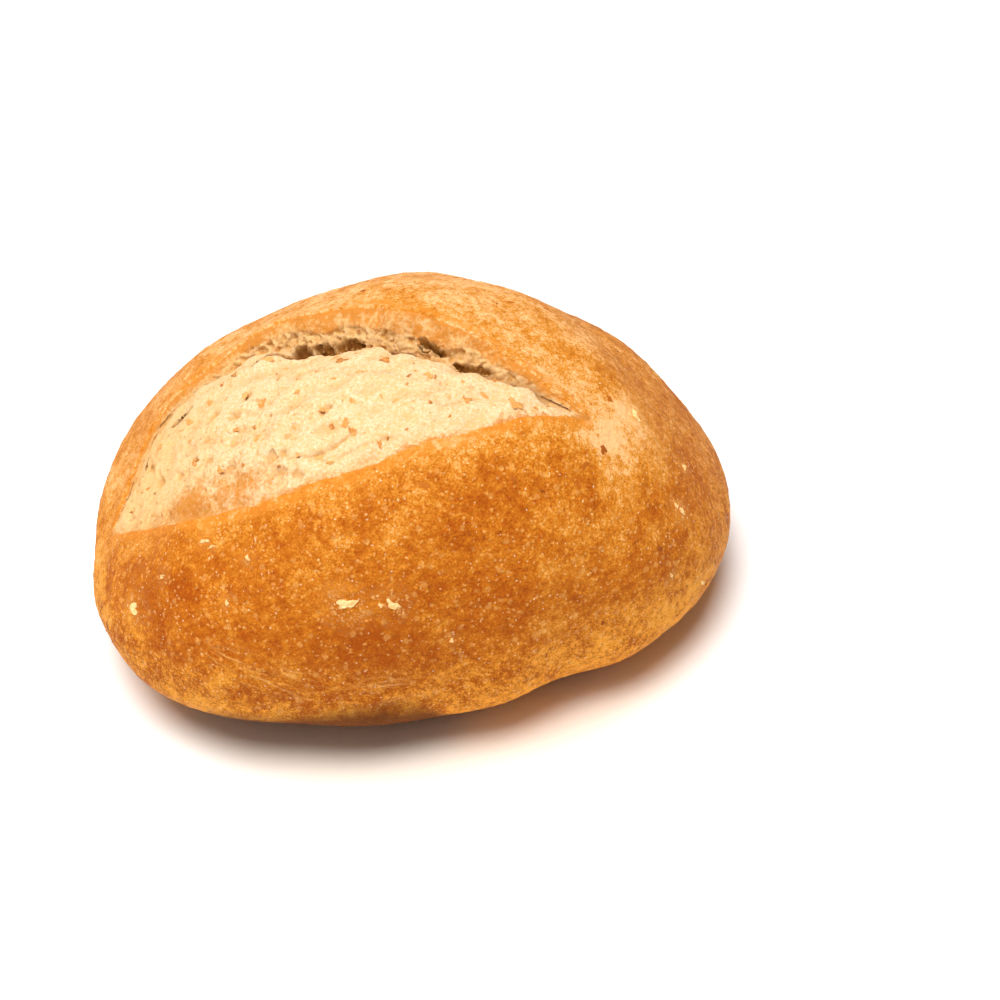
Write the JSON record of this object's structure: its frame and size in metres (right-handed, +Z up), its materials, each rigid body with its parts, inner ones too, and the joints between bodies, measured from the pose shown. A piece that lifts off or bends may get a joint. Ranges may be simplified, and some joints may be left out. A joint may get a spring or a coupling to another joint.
{
  "type": "bread roll",
  "caption": "Crusty oval bran bread roll, baked on a flat base, with one lengthwise score that has burst open and shows the pale crumb.",
  "frame": {"origin": "middle of the flat base, at the bottom centre of the roll's box", "axes": "+X along the roll towards its narrower and higher end, +Y to the back, away from the score's flat front edge, +Z up"},
  "size_m": [0.1154, 0.0886, 0.0605],
  "materials": {
    "crust": "satin, golden to orange-brown baked crust",
    "crumb": "matt, cream-coloured open crumb",
    "bran": "matt, reddish-brown bran flakes"
  },
  "bodies": {
    "root": {"bread_roll": "crust"}
  },
  "joints": []
}
